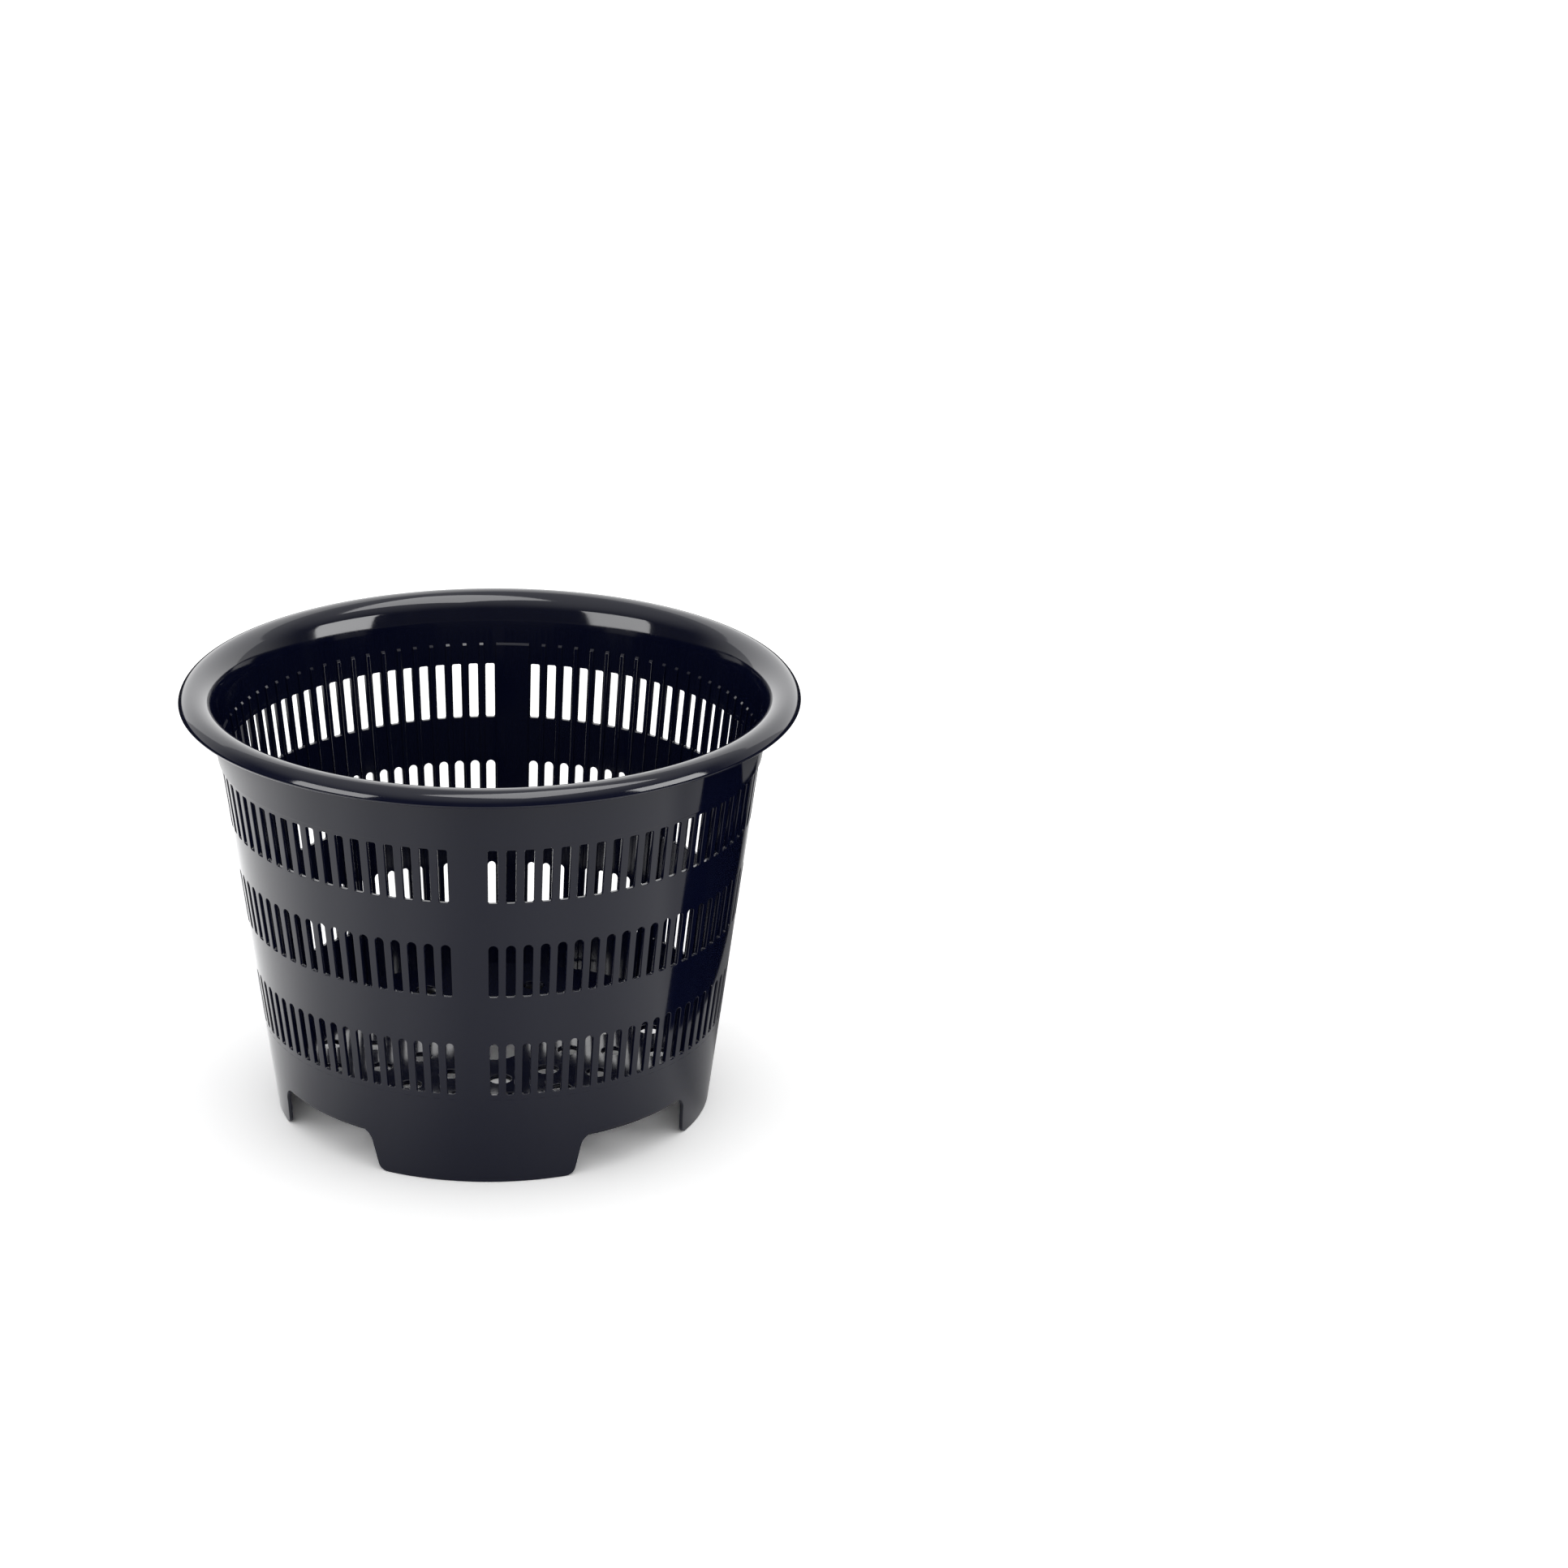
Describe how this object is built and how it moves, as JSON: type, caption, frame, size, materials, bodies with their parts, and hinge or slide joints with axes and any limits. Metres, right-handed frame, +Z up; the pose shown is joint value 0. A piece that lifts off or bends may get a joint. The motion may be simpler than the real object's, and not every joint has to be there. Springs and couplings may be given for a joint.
{
  "type": "orchid pot",
  "caption": "Round tapered plastic orchid pot with a flared rim, rows of narrow slots in its walls, a drilled drain floor and low feet.",
  "frame": {"origin": "on the ground, in the middle of the circle that the feet stand on", "axes": "+Z up along the pot's axis; -Y towards the pillar that faces the viewer, +X to the viewer's right"},
  "size_m": [0.12, 0.12, 0.086],
  "materials": {
    "pot_plastic": "glossy black moulded plastic"
  },
  "bodies": {
    "root": {"rim": "pot_plastic", "collar": "pot_plastic", "skirt": "pot_plastic", "drain_floor": "pot_plastic", "slotted_panel_back_right": "pot_plastic", "slotted_panel_back_left": "pot_plastic", "slotted_panel_front_left": "pot_plastic", "slotted_panel_front_right": "pot_plastic", "inner_ribs_back_right": "pot_plastic", "inner_ribs_back_left": "pot_plastic", "inner_ribs_front_left": "pot_plastic", "inner_ribs_front_right": "pot_plastic", "pillar_right": "pot_plastic", "pillar_back": "pot_plastic", "pillar_left": "pot_plastic", "pillar_front": "pot_plastic", "foot_right": "pot_plastic", "foot_back": "pot_plastic", "foot_left": "pot_plastic", "foot_front": "pot_plastic"}
  },
  "joints": []
}
